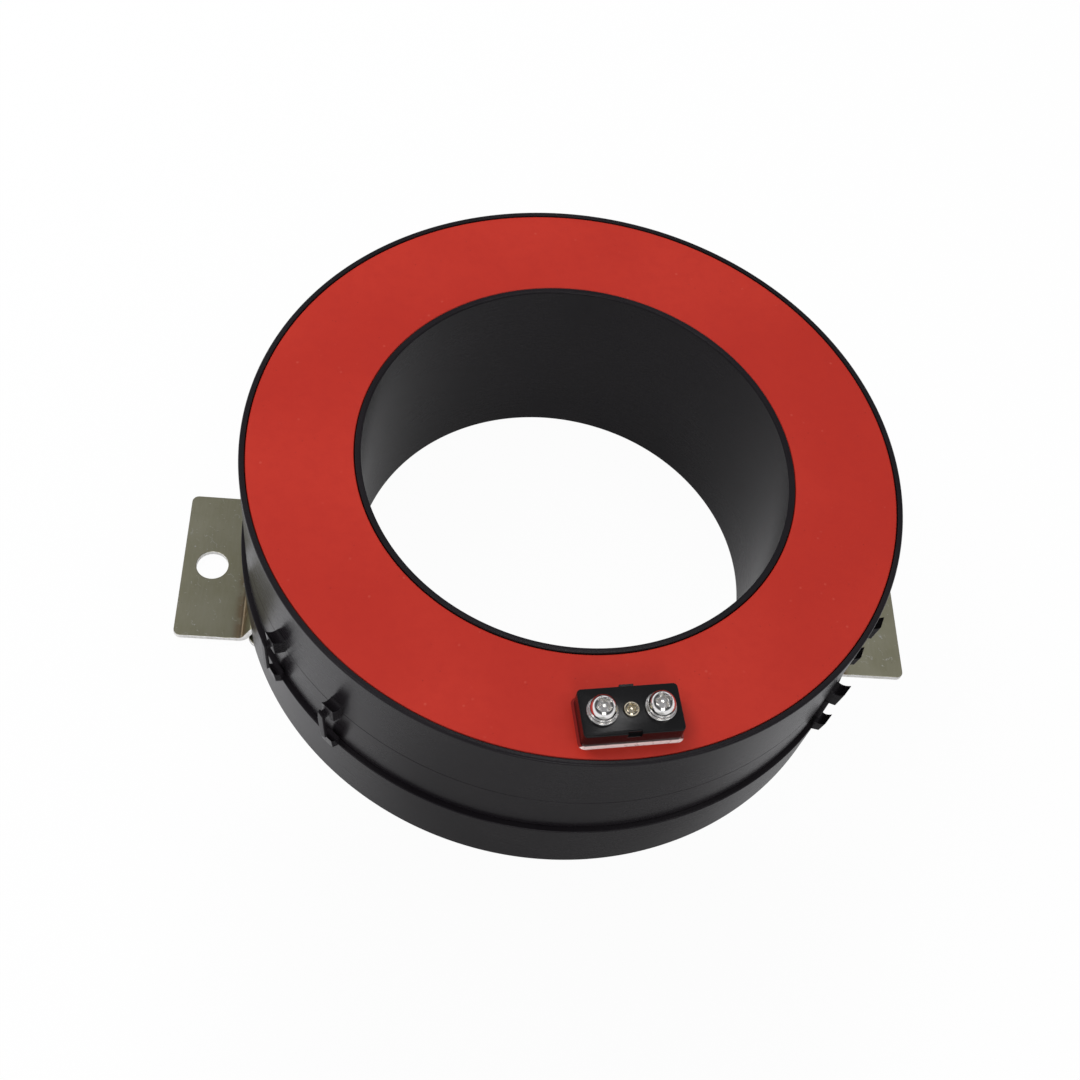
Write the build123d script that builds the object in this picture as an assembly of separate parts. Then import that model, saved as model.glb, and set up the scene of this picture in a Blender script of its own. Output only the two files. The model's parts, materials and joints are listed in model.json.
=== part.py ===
"""Ring-type current transformer with a cast resin top, two joggled feet and a screw terminal block.

Millimetres. +Z is up and is the axis of the bore. The origin is where that axis meets the mounting plane.
X runs through the two feet, and the terminal block stands on the -Y side.
"""
import os
from math import cos, radians, sin

from build123d import *

os.makedirs("parts", exist_ok=True)

# Ring
bore_radius = 75.0
rim_radius = 116.0
total_height = 83.0
bore_wall = 2.1
rim_wall = 1.9
rim_edge_round = 0.7
wall_draft = 0.8
resin_recess = 0.4
bore_tube_end = 5.0
part_clearance = 0.3
cut_margin = 1.0

# Base ring
base_bottom = 2.0
base_overhang = 1.0
base_draft = 0.5
base_lip_height = 30.0
base_wall = 2.5
base_floor = 2.5
seam_gap = 0.6
nest_wall = 1.9
nest_step = 1.0
housing_floor_bottom = 14.0
housing_floor = 2.5
inner_rib_offset = 4.9
inner_rib_wall = 2.5
ledge_width = 2.5

# Hook lugs
head_angle = -82.0
lug_angle = -84.5
lug_offsets = (47.2, 62.5)
lug_width = 5.0
lug_reach = 4.8
lug_undercut = 0.8
lug_rise = 2.6
lug_dip = 1.3
upper_lug_above_seam = 17.4
upper_lug_height = 9.0
lower_lug_below_lip = 2.0
lower_lug_height = 6.4
lug_root = 0.8
tongue_width = 2.2
tongue_thickness = 1.2
tongue_drop = 9.4
tongue_start = 7.0
tongue_slant = 2.0
guide_width = 1.6
guide_reach = 1.8
lug_groove_start = 0.2
lug_stand = 0.2

# Feet and clamp plates
foot_length = 62.0
foot_shift = -5.0
foot_projection = 23.0
foot_thickness = 2.0
foot_corner = 2.6
foot_hole_radius = 6.0
foot_hole_inset = 11.0
joggle_inset = 2.0
joggle_run = 4.0
joggle_rise = 8.0
joggle_bend = 1.4
joggle_shift = 1.2
foot_inner_share = 0.44
clamp_overhang = 2.4
clamp_inset = 4.7
clamp_corner = 4.0
clamp_screw_share = 0.64
clamp_screw_y = 18.0
clamp_screw_radius = 2.0
clamp_head_radius = 3.9
clamp_head_height = 2.6
clamp_head_round = 0.9
clamp_recess_width = 0.9
clamp_screw_end = 0.4
pad_inset = 8.6

# Core and winding
core_inner_share = 0.13
core_outer_share = 0.19
core_bottom = 27.0
core_height_share = 0.6
tray_wall = 1.5
winding_thickness = 1.2
tape_thickness = 0.5
lead_radius = 0.9

# Screw heads
recess_reach = 0.62
recess_depth = 0.45

# Terminal block
block_length = 32.4
block_depth_share = 0.4
block_radius_share = 0.624
block_height = 7.5
block_sink = 6.0
block_corner = 1.5
block_edge = 0.5
block_tab_width = 4.6
block_tab_depth = 0.9
block_tab_bottom = 2.5
block_tab_drop = 0.3
block_notch_height = 2.4
terminal_pitch = 18.6
terminal_screw_radius = 2.5
washer_radius = 5.0
washer_thickness = 1.0
spring_washer_radius = 4.6
spring_washer_thickness = 1.3
spring_washer_slit = 0.7
screw_head_radius = 4.3
screw_head_height = 3.8
screw_head_round = 1.3
screw_length = 10.0
screw_recess_width = 1.2
screw_turns = {"left": 35, "right": 12}
spring_washer_turn = 60
insert_radius = 4.0
insert_depth = 9.0
insert_inset = 0.1
insert_floor = 0.8
centre_screw_radius = 1.5
centre_head_radius = 2.7
centre_head_height = 1.9
centre_head_round = 0.7
centre_recess_width = 0.8
centre_screw_length = 8.0
centre_hole_spare = 0.5

# Heights and radii that follow
ring_width = rim_radius - bore_radius
resin_top = total_height - resin_recess
seam_height = base_lip_height + seam_gap
seam_radius = rim_radius - wall_draft
nest_radius = seam_radius - nest_step
base_lip_radius = rim_radius + base_overhang
base_low_radius = base_lip_radius - base_draft
base_lip_inner = base_lip_radius - base_wall
bore_wall_radius = bore_radius + bore_wall
inner_rib_radius = bore_wall_radius + inner_rib_offset
inner_rib_outer = inner_rib_radius + inner_rib_wall
ledge_radius = base_lip_inner - ledge_width
cavity_bottom = housing_floor_bottom + housing_floor
cavity_low_radius = nest_radius - nest_wall
cavity_top_radius = rim_radius - rim_wall
base_hole_radius = bore_wall_radius + part_clearance
floor_top = base_bottom + base_floor
base_width = base_lip_radius - bore_wall_radius
foot_reach = base_lip_radius + foot_projection
foot_hole_x = foot_reach - foot_hole_inset
foot_inner_x = bore_wall_radius + base_width * foot_inner_share
clamp_screw_x = bore_wall_radius + base_width * clamp_screw_share
joggle_outer_x = base_lip_radius - joggle_inset
joggle_inner_x = joggle_outer_x - joggle_run
clamp_outer_x = base_lip_radius - clamp_inset
pad_outer_x = base_lip_radius - pad_inset
raised_bottom = joggle_rise
raised_top = joggle_rise + foot_thickness
window_half = foot_length / 2 + part_clearance
upper_lug_root = seam_radius + lug_stand
upper_lug_bottom = seam_height + upper_lug_above_seam
lower_lug_bottom = base_lip_height - lower_lug_below_lip
lower_lug_reach = upper_lug_root + lug_reach - base_lip_radius
block_bottom = resin_top - block_sink
block_top = resin_top + block_height
block_depth = ring_width * block_depth_share
block_radius = bore_radius + ring_width * block_radius_share


def around(radius, angle, height=0.0):
    """A location on the ring: local X points outward, local Z up."""
    turn = radians(angle)
    return Location((radius * cos(turn), radius * sin(turn), height), (0, 0, angle))


def revolved(points):
    """A body turned round the bore from its (radius, height) outline."""
    outline = Polyline([(r, 0, z) for r, z in points], close=True)
    return revolve(make_face(outline), Axis.Z, 360)


def box_between(x0, x1, y0, y1, z0, z1):
    """A box from its six planes."""
    box = Box(x1 - x0, y1 - y0, z1 - z0, align=(Align.MIN, Align.MIN, Align.MIN))
    return box.locate(Location((x0, y0, z0)))


def rod(radius, bottom, top):
    """An upright round rod between two heights."""
    cylinder = Cylinder(radius, top - bottom, align=(Align.CENTER, Align.CENTER, Align.MIN))
    return cylinder.locate(Location((0, 0, bottom)))


def foot_place(side):
    """Where the foot on one side stands: turned about the bore, then moved along by the foot shift."""
    return Location((0, foot_shift, 0), (0, 0, side))


def lug(root_radius, bottom, height, reach_from_root):
    """One hook lug: a block that rises outward, with a round groove on top and a raised tip."""
    reach = root_radius + reach_from_root
    top = bottom + height
    wall_low = (root_radius - lug_root, 0, bottom)
    wall_high = (root_radius - lug_root, 0, top)
    groove_start = (root_radius + lug_groove_start, 0, top)
    dip = lug_dip * reach_from_root / lug_reach
    groove_low = (root_radius + reach_from_root / 2, 0, top + lug_rise / 2 - dip)
    tip = (reach, 0, top + lug_rise)
    outer_low = (reach - lug_undercut, 0, bottom + lug_rise)
    edges = [
        Line(wall_high, groove_start),
        ThreePointArc(groove_start, groove_low, tip),
        Line(tip, outer_low),
        Line(outer_low, wall_low),
        Line(wall_low, wall_high),
    ]
    face = make_face(edges)
    return extrude(face, lug_width / 2, dir=(0, 1, 0), both=True)


def snap_tongue(root_radius, bottom):
    """The thin slanted tongue that runs from an upper lug's side down over the lower lug."""
    side = -lug_width / 2
    high = bottom + tongue_start
    low = bottom - tongue_drop
    outline = Polyline([
        (0, side, high), (0, side + tongue_width, high - tongue_slant),
        (0, tongue_width / 2, low + tongue_slant / 2), (0, -tongue_width / 2, low),
        (0, side, bottom + tongue_slant)], close=True)
    start = root_radius + lug_reach + part_clearance
    strip = Location((start, 0, 0)) * extrude(make_face(outline), tongue_thickness, dir=(1, 0, 0))
    bridge_start = root_radius + lug_reach - 2 * lug_undercut
    bridge = box_between(bridge_start, start + tongue_thickness, side, side + tongue_width,
                         bottom + lug_rise, high - tongue_slant)
    return strip + bridge


def guide_rib(root_radius, bottom):
    """The narrow rib under an upper lug, on the wall down to the lower lug."""
    side = -lug_width / 2
    end = lower_lug_bottom + lower_lug_height + lug_rise + part_clearance
    return box_between(root_radius - lug_root, root_radius + guide_reach, side, side + guide_width,
                       end, bottom + lug_rise)


tongue_angles = [lug_angle + half - offset for half in (0, 180) for offset in lug_offsets]
guide_angles = [lug_angle + half + offset for half in (0, 180) for offset in lug_offsets]
lug_angles = tongue_angles + guide_angles


# Housing, with its bore tube and the upper lugs
def make_housing():
    body = revolved([
        (bore_radius, bore_tube_end), (bore_wall_radius, bore_tube_end),
        (bore_wall_radius, housing_floor_bottom),
        (nest_radius, housing_floor_bottom), (nest_radius, seam_height), (seam_radius, seam_height),
        (rim_radius, total_height), (bore_radius, total_height)])
    cavity = revolved([
        (bore_wall_radius, cavity_bottom), (cavity_low_radius, cavity_bottom),
        (cavity_top_radius, total_height), (bore_wall_radius, total_height)])
    body -= cavity
    top_faces = body.faces().filter_by(GeomType.PLANE).sort_by(Axis.Z)[-2:]
    top_edges = top_faces.edges().sort_by(SortBy.RADIUS)
    body = fillet([top_edges[0], top_edges[-1]], rim_edge_round)
    for angle in lug_angles:
        body += around(0, angle) * lug(upper_lug_root, upper_lug_bottom, upper_lug_height, lug_reach)
    for angle in tongue_angles:
        body += around(0, angle) * snap_tongue(upper_lug_root, upper_lug_bottom)
    for angle in guide_angles:
        body += around(0, angle) * guide_rib(upper_lug_root, upper_lug_bottom)
    return body


# Base ring, an open tray with windows for the feet
def make_base_ring():
    body = revolved([
        (base_hole_radius, base_bottom), (base_low_radius, base_bottom), (base_lip_radius, base_lip_height),
        (base_lip_inner, base_lip_height), (base_lip_inner, housing_floor_bottom),
        (ledge_radius, housing_floor_bottom), (ledge_radius, floor_top), (inner_rib_outer, floor_top),
        (inner_rib_outer, housing_floor_bottom), (inner_rib_radius, housing_floor_bottom),
        (inner_rib_radius, floor_top), (base_hole_radius, floor_top)])
    for side in (0, 180):
        turn = foot_place(side)
        body += turn * box_between(foot_inner_x, pad_outer_x, -foot_length / 2, foot_length / 2,
                                   floor_top, raised_bottom)
        window = box_between(foot_inner_x, base_lip_radius + cut_margin, -window_half, window_half,
                             raised_bottom, raised_top + part_clearance)
        notch = box_between(pad_outer_x, base_lip_radius + cut_margin, -window_half, window_half,
                            base_bottom - cut_margin, raised_top + part_clearance)
        body -= turn * (window + notch)
        for y in (-clamp_screw_y, clamp_screw_y):
            hole = rod(clamp_screw_radius + part_clearance, 0, raised_bottom + cut_margin)
            body -= turn * (Location((clamp_screw_x, y, 0)) * hole)
    for angle in lug_angles:
        body += around(0, angle) * lug(base_lip_radius, lower_lug_bottom, lower_lug_height, lower_lug_reach)
    return body


# Mounting foot: flat outside, joggled up and into the base ring
def make_foot(side):
    t = foot_thickness
    half = foot_length / 2
    outline = [
        (foot_reach, 0), (foot_reach, t), (joggle_outer_x, t), (joggle_inner_x, raised_top),
        (foot_inner_x, raised_top), (foot_inner_x, raised_bottom),
        (joggle_inner_x - joggle_shift, raised_bottom),
        (joggle_outer_x - joggle_shift, 0)]
    face = make_face(Polyline([(x, 0, z) for x, z in outline], close=True))
    body = extrude(face, half, dir=(0, 1, 0), both=True)
    bends = [e for e in body.edges().filter_by(Axis.Y)
             if joggle_inner_x - joggle_run < e.center().X < joggle_outer_x + joggle_run]
    body = fillet(bends, joggle_bend)
    corners = body.edges().filter_by(Axis.Z).sort_by(Axis.X)[-2:]
    body = fillet(corners, foot_corner)
    body -= Location((foot_hole_x, 0, 0)) * rod(foot_hole_radius, -cut_margin, t + cut_margin)
    for y in (-clamp_screw_y, clamp_screw_y):
        hole = rod(clamp_screw_radius + part_clearance, raised_bottom - cut_margin, raised_top + cut_margin)
        body -= Location((clamp_screw_x, y, 0)) * hole
    return foot_place(side) * body


# Clamp plate under the base ring's floor
def make_clamp_plate(side):
    half = foot_length / 2 + clamp_overhang
    body = box_between(foot_inner_x, clamp_outer_x, -half, half, 0, base_bottom)
    corners = body.edges().filter_by(Axis.Z).sort_by(Axis.X)[-2:]
    body = fillet(corners, clamp_corner)
    for y in (-clamp_screw_y, clamp_screw_y):
        hole = rod(clamp_screw_radius + part_clearance, -cut_margin, base_bottom + cut_margin)
        body -= Location((clamp_screw_x, y, 0)) * hole
    return foot_place(side) * body


def cross_recess(radius, top, depth, width):
    """The cross slot of a screw head."""
    slot = box_between(-radius, radius, -width / 2, width / 2, top - depth, top + cut_margin)
    return slot + Location((0, 0, 0), (0, 0, 90)) * slot


def pan_screw(seat, head_radius, head_height, head_round, shank_radius, shank_bottom, recess_width):
    """A pan-head screw that stands on the height given as its seat."""
    head = rod(head_radius, seat, seat + head_height)
    top_edge = head.edges().filter_by(GeomType.CIRCLE).sort_by(Axis.Z)[-1]
    head = fillet(top_edge, head_round)
    top = seat + head_height
    head -= cross_recess(head_radius * recess_reach, top, head_height * recess_depth, recess_width)
    return head + rod(shank_radius, shank_bottom, seat)


def ring_washer(outer, hole, bottom, top):
    return rod(outer, bottom, top) - rod(hole, bottom - cut_margin, top + cut_margin)


# Core, tray, lid, winding and tape
tray_build = part_clearance + tray_wall
coil_build = tray_build + part_clearance + winding_thickness + part_clearance + tape_thickness
core_room = cavity_low_radius - bore_wall_radius - 2 * (part_clearance + coil_build)
core_inner_radius = bore_wall_radius + part_clearance + coil_build + core_room * core_inner_share
core_outer_radius = cavity_low_radius - part_clearance - coil_build - core_room * core_outer_share
core_top = core_bottom + (block_bottom - core_bottom) * core_height_share
tray_inner = core_inner_radius - part_clearance
tray_outer = core_outer_radius + part_clearance
tray_top = core_top + part_clearance
lid_top = tray_top + tray_wall
coil_inner = tray_inner - tray_wall - part_clearance
coil_outer = tray_outer + tray_wall + part_clearance
tray_bottom = core_bottom - tray_wall
winding_inner = coil_inner - winding_thickness
winding_outer = coil_outer + winding_thickness
winding_bottom = tray_bottom - winding_thickness
winding_top = lid_top + winding_thickness
tape_hollow_inner = winding_inner - part_clearance
tape_hollow_outer = winding_outer + part_clearance
tape_inner = tape_hollow_inner - tape_thickness
tape_outer = tape_hollow_outer + tape_thickness
tape_bottom = winding_bottom - tape_thickness
tape_top = winding_top + tape_thickness


def tube(inner, outer, bottom, top):
    """A ring of rectangular section round the bore."""
    return revolved([(inner, bottom), (outer, bottom), (outer, top), (inner, top)])


core = tube(core_inner_radius, core_outer_radius, core_bottom, core_top)
core_tray = tube(tray_inner - tray_wall, tray_outer + tray_wall, tray_bottom, tray_top)
core_tray -= tube(tray_inner, tray_outer, core_bottom, tray_top + cut_margin)
core_lid = tube(tray_inner - tray_wall, tray_outer + tray_wall, tray_top, lid_top)
winding = tube(winding_inner, winding_outer, winding_bottom, winding_top)
winding -= tube(coil_inner, coil_outer, tray_bottom, lid_top)
tape = tube(tape_inner, tape_outer, tape_bottom, tape_top)
tape -= tube(tape_hollow_inner, tape_hollow_outer, winding_bottom, winding_top)

# Terminal block and what is screwed into it, in its own place on the ring
block_place = around(block_radius, head_angle)
# local X is outward, local Y runs along the block
terminal_offsets = {"left": -terminal_pitch / 2, "right": terminal_pitch / 2}
insert_top = block_top - insert_inset
insert_bottom = insert_top - insert_depth
washer_top = block_top + washer_thickness
spring_top = washer_top + spring_washer_thickness


def make_block():
    half_depth = block_depth / 2
    half_length = block_length / 2
    body = box_between(-half_depth, half_depth, -half_length, half_length, block_bottom, block_top)
    body = fillet(body.edges().filter_by(Axis.Z), block_corner)
    body = fillet(body.faces().sort_by(Axis.Z)[-1].edges(), block_edge)
    tab_half = block_tab_width / 2
    body += box_between(-half_depth - block_tab_depth, -half_depth + block_corner, -tab_half, tab_half,
                        resin_top + block_tab_bottom, block_top - block_tab_drop)
    body -= box_between(half_depth - block_tab_depth, half_depth + cut_margin, -tab_half, tab_half,
                        block_top - block_notch_height, block_top + cut_margin)
    for y in terminal_offsets.values():
        place = Location((0, y, 0))
        body -= place * rod(insert_radius + part_clearance, insert_bottom, block_top + cut_margin)
        body -= place * rod(lead_radius + part_clearance, block_bottom - cut_margin,
                            insert_bottom + cut_margin)
    centre_hole_bottom = block_top - centre_screw_length - centre_hole_spare
    body -= rod(centre_screw_radius + part_clearance, centre_hole_bottom, block_top + cut_margin)
    return block_place * body


def make_insert(y):
    body = rod(insert_radius, insert_bottom, insert_top)
    body -= rod(terminal_screw_radius + part_clearance, insert_bottom + insert_floor,
                insert_top + cut_margin)
    return block_place * (Location((0, y, 0)) * body)


def make_terminal_screw(y, turn):
    screw = pan_screw(spring_top, screw_head_radius, screw_head_height, screw_head_round,
                      terminal_screw_radius, spring_top - screw_length, screw_recess_width)
    return block_place * (Location((0, y, 0), (0, 0, turn)) * screw)


def make_washer(y):
    washer = ring_washer(washer_radius, terminal_screw_radius + part_clearance, block_top, washer_top)
    return block_place * (Location((0, y, 0)) * washer)


def make_spring_washer(y):
    hole_radius = terminal_screw_radius + part_clearance
    washer = ring_washer(spring_washer_radius, hole_radius, washer_top, spring_top)
    half = spring_washer_slit / 2
    washer -= box_between(0, spring_washer_radius + cut_margin, -half, half, washer_top - cut_margin,
                          spring_top + cut_margin)
    return block_place * (Location((0, y, 0), (0, 0, spring_washer_turn)) * washer)


def make_lead(y):
    return block_place * (Location((0, y, 0)) * rod(lead_radius, winding_top, insert_bottom))


def make_resin():
    gap = part_clearance
    inner = bore_wall_radius + gap
    fall = (cavity_top_radius - cavity_low_radius) * resin_recess / (total_height - cavity_bottom)
    body = revolved([(inner, cavity_bottom), (cavity_low_radius - gap, cavity_bottom),
                     (cavity_top_radius - gap - fall, resin_top), (inner, resin_top)])
    body -= tube(tape_inner - gap, tape_outer + gap, tape_bottom, tape_top + gap)
    half_depth = block_depth / 2 + gap
    half_length = block_length / 2 + gap
    pocket = box_between(-half_depth, half_depth, -half_length, half_length, block_bottom,
                         resin_top + cut_margin)
    pocket = fillet(pocket.edges().filter_by(Axis.Z), block_corner + gap)
    for y in terminal_offsets.values():
        pocket += Location((0, y, 0)) * rod(lead_radius + gap, tape_top - cut_margin,
                                            block_bottom + cut_margin)
    return body - block_place * pocket


for y in terminal_offsets.values():
    lead_hole = rod(lead_radius + part_clearance, winding_top, tape_top + cut_margin)
    tape -= block_place * (Location((0, y, 0)) * lead_hole)

parts = {
    "housing": make_housing(),
    "base_ring": make_base_ring(),
    "cast_resin": make_resin(),
    "toroidal_core": core,
    "core_tray": core_tray,
    "core_lid": core_lid,
    "secondary_winding": winding,
    "winding_tape": tape,
    "terminal_block": make_block(),
    "block_centre_screw": block_place * pan_screw(block_top, centre_head_radius, centre_head_height,
                                                  centre_head_round, centre_screw_radius,
                                                  block_top - centre_screw_length, centre_recess_width),
}
for name, y in terminal_offsets.items():
    parts[f"terminal_insert_{name}"] = make_insert(y)
    parts[f"terminal_washer_{name}"] = make_washer(y)
    parts[f"spring_washer_{name}"] = make_spring_washer(y)
    parts[f"terminal_screw_{name}"] = make_terminal_screw(y, screw_turns[name])
    parts[f"lead_wire_{name}"] = make_lead(y)
for name, side in {"right": 0, "left": 180}.items():
    parts[f"foot_{name}"] = make_foot(side)
    parts[f"clamp_plate_{name}"] = make_clamp_plate(side)
    for end, y in {"front": -clamp_screw_y, "back": clamp_screw_y}.items():
        x = clamp_screw_x if side == 0 else -clamp_screw_x
        screw = pan_screw(raised_top, clamp_head_radius, clamp_head_height, clamp_head_round,
                          clamp_screw_radius, clamp_screw_end, clamp_recess_width)
        parts[f"clamp_screw_{name}_{end}"] = Location((x, y + foot_shift, 0)) * screw

for name, body in parts.items():
    export_step(body, f"parts/{name}.step")
    print(name, "volume", round(body.volume, 1))
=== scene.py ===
"""Looks of the ring-type current transformer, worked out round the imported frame.

Shapes are grids of points from numpy, in millimetres, and go into their meshes in metres.
Heights are above the mounting plane and radii are from the axis of the bore.
"""
import json
from math import cos, pi, radians, sin, tan

import bmesh
import bpy
import numpy as np
from mathutils import Matrix, Vector


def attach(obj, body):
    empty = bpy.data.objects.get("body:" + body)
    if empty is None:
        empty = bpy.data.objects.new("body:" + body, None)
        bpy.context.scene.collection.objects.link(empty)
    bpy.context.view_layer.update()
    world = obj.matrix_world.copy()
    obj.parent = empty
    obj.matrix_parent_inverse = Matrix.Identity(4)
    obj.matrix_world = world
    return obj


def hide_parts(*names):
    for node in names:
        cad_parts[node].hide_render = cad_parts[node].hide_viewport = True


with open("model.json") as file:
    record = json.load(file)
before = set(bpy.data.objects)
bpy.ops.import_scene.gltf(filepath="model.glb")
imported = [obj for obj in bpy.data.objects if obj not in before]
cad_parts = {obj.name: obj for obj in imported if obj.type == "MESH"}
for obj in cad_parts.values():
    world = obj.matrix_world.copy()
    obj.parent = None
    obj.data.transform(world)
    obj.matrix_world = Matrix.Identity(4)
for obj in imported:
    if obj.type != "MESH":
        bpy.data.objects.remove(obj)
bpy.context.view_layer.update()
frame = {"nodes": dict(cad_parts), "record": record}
nodes = frame["nodes"]

MM = 0.001

# Ring
BORE_RADIUS = 75.0
BORE_WALL = 2.1
RIM_RADIUS = 116.0
RIM_WALL = 1.9
RIM_TOP = 83.0
RIM_ROUND = 0.7
INNER_EDGE_ROUND = 0.25
SEAM_RADIUS = 115.2
SEAM_HEIGHT = 30.6
SEAM_ROUND = 0.22
NEST_RADIUS = 114.2
HOUSING_BOTTOM = 14.0
HOUSING_FLOOR = 2.5
CAVITY_LOW_RADIUS = 112.3
TUBE_BOTTOM = 5.0
WITNESS_HEIGHT = 52.0
WITNESS_DEPTH = 0.18
WITNESS_HALF = 0.20
RESIN_TOP = 82.6
CLEARANCE = 0.3
RESIN_EDGE_ROUND = 0.4
RESIN_GAP = 0.05

# Base ring
BASE_BOTTOM = 2.0
BASE_LOW_RADIUS = 116.5
BASE_LIP_RADIUS = 117.0
BASE_LIP_INNER = 114.5
BASE_LIP_HEIGHT = 30.0
BASE_FLOOR_TOP = 4.5
LEDGE_RADIUS = 112.0
RIB_INNER = 82.0
RIB_OUTER = 84.5
LIP_ROUND = 0.4
BOTTOM_ROUND = 0.8
LAP = 0.2
FLOOR_LAP = 0.5

# Feet and clamp plates
FOOT_SHIFT = -5.0
FOOT_HALF = 31.0
FOOT_REACH = 140.0
FOOT_THICKNESS = 2.0
FOOT_CORNER = 2.6
FOOT_HOLE_X = 129.0
FOOT_HOLE_RADIUS = 6.0
HOLE_MARGIN = 10.0
JOGGLE_OUTER = 115.0
JOGGLE_INNER = 111.0
JOGGLE_RISE = 8.0
JOGGLE_BEND = 2.4
FOOT_INNER = 94.7
PAD_OUTER = 108.4
PLATE_OUTER = 112.3
PLATE_OVERHANG = 2.4
PLATE_CORNER = 4.0
WINDOW_TOP = 10.3
WINDOW_HALF = 31.3
SIDE_NUDGE = 1e-5

# Hook lugs
HEAD_ANGLE = -82.0
LUG_ANGLE = -84.5
LUG_OFFSETS = (47.2, 62.5)
LUG_WIDTH = 5.0
LUG_REACH = 4.8
LUG_ROOT = 0.8
LUG_UNDERCUT = 0.8
LUG_RISE = 2.6
LUG_DIP = 1.3
UPPER_LUG_RADIUS = 115.4
UPPER_LUG_BOTTOM = 48.0
UPPER_LUG_HEIGHT = 9.0
LOWER_LUG_BOTTOM = 28.0
LOWER_LUG_HEIGHT = 6.4
TONGUE_WIDTH = 2.2
TONGUE_THICKNESS = 1.2
TONGUE_DROP = 9.4
TONGUE_START = 7.0
TONGUE_SLANT = 2.0
GUIDE_WIDTH = 1.6
GUIDE_REACH = 1.8

# Terminal block
BLOCK_RADIUS = 100.6
BLOCK_LENGTH = 32.4
BLOCK_DEPTH = 16.4
BLOCK_HEIGHT = 7.5
BLOCK_SINK = 6.0
BLOCK_CORNER = 1.5
BLOCK_TOP_ROUND = 0.5
TAB_WIDTH = 4.6
TAB_DEPTH = 0.9
TAB_BOTTOM = 2.5
TAB_TOP = 7.2 - BLOCK_TOP_ROUND
NOTCH_HEIGHT = 2.4
BEAD_REACH = 0.80
BEAD_RISE = 0.60
BEAD_ROOT = 0.4
BEAD_SINK = 0.3
TERMINAL_PITCH = 18.6
WASHER_RADIUS = 5.0
WASHER_THICKNESS = 1.0
SPRING_RADIUS = 4.6
SPRING_INNER = 2.8
SPRING_THICKNESS = 1.3
SPRING_SPLIT = 9.0
HEAD_RADIUS = 4.3
HEAD_HEIGHT = 3.8
HEAD_POWER = 2.2
CENTRE_HEAD_RADIUS = 2.7
CENTRE_HEAD_HEIGHT = 1.9
SHANK_RADIUS = 2.5
CENTRE_SHANK_RADIUS = 1.5
SCREW_LENGTH = 10.0
CENTRE_LENGTH = 8.0
TERMINAL_RECESS = {"arm": 0.62, "half": 0.20, "depth": 0.40}
CENTRE_RECESS = {"arm": 0.62, "half": 0.22, "depth": 0.45}
SCREW_TURNS = {"left": 35, "right": 12}
CENTRE_TURN = 20
SPRING_TURN = 60

# The photograph's viewpoint
EYE = (-67.703, -301.498, 499.115)
YAW = 11.524
PITCH = 56.875
ROLL = 13.586
FOCAL = 1489.28
PICTURE = 1080
SENSOR = 36.0

# The ground, in metres
FLOOR_REACH = 6.0
FLOOR_GAP = 0.0002


# Shapes

def columns(*values):
    """Points from their coordinates, each an array or one number for all."""
    return np.stack(np.broadcast_arrays(*values), axis=-1)


def around(radius, turn, height):
    """Points about the bore: x = r cos t, y = r sin t, z = h."""
    return columns(radius * np.cos(turn), radius * np.sin(turn), height)


def rounded_path(corners, steps=5, guard=0.35):
    """A closed outline through (a, b, radius) corners, each corner an arc tangent to its two sides.

    An arc's centre lies on the corner's bisector at radius / sin(half angle). A guard point stands a
    little way out on each side, so that the flats keep their own shading.
    """
    places = np.array([c[:2] for c in corners], float)
    before = np.roll(places, 1, axis=0)
    after = np.roll(places, -1, axis=0)
    path = []
    for point, back, ahead, corner in zip(places, before, after, corners):
        radius = corner[2]
        if radius == 0:
            path.append(point[None])
            continue
        to_back = (back - point) / np.linalg.norm(back - point)
        to_ahead = (ahead - point) / np.linalg.norm(ahead - point)
        half = np.arccos(np.clip(to_back @ to_ahead, -1, 1)) / 2
        bisector = (to_back + to_ahead) / np.linalg.norm(to_back + to_ahead)
        centre = point + bisector * radius / sin(half)
        reach = radius / tan(half)
        first = point + to_back * reach
        last = point + to_ahead * reach
        start = np.arctan2(*(first - centre)[::-1])
        turn = (np.arctan2(*(last - centre)[::-1]) - start + pi) % (2 * pi) - pi
        angles = start + turn * np.linspace(0, 1, steps + 1)
        arc = centre + radius * np.stack([np.cos(angles), np.sin(angles)], axis=1)
        path += [first[None] + to_back * guard, arc, last[None] + to_ahead * guard]
    return np.concatenate(path)


def grid_faces(rows, columns, closed_rows, closed_columns):
    """Index quads of a grid, which join its last row or column to its first where it is closed."""
    first_row = np.arange(rows - (not closed_rows))
    first_column = np.arange(columns - (not closed_columns))
    i, j = np.meshgrid(first_row, first_column, indexing="ij")
    next_i, next_j = (i + 1) % rows, (j + 1) % columns
    corners = [(i, j), (next_i, j), (next_i, next_j), (i, next_j)]
    return np.stack([row * columns + column for row, column in corners], axis=-1).reshape(-1, 4)


def ring(path, count=288):
    """The (radius, height) path carried round the bore."""
    turn = np.linspace(0, 2 * pi, count, endpoint=False)[:, None]
    points = around(path[:, 0], turn, path[:, 1])
    return points.reshape(-1, 3), grid_faces(count, len(path), True, True).tolist()


def prism(outline, low, high):
    """A flat (a, b) outline, counterclockwise, carried from c = low to c = high, with both ends closed."""
    count = len(outline)
    ends = [columns(outline[:, 0], outline[:, 1], c) for c in (low, high)]
    sides = grid_faces(2, count, False, True)[:, ::-1].tolist()
    caps = [list(range(count))[::-1], list(range(count, 2 * count))]
    return np.concatenate(ends), sides + caps


def placed(shape, offset=(0, 0, 0), turn=0.0, order=(0, 1, 2)):
    """A shape with its axes put in another order, turned about the vertical by degrees, then moved."""
    points, faces = shape
    points = points[:, order]
    a = radians(turn)
    rotation = np.array([[cos(a), sin(a), 0], [-sin(a), cos(a), 0], [0, 0, 1]])
    return points @ rotation + np.array(offset), faces


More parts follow.
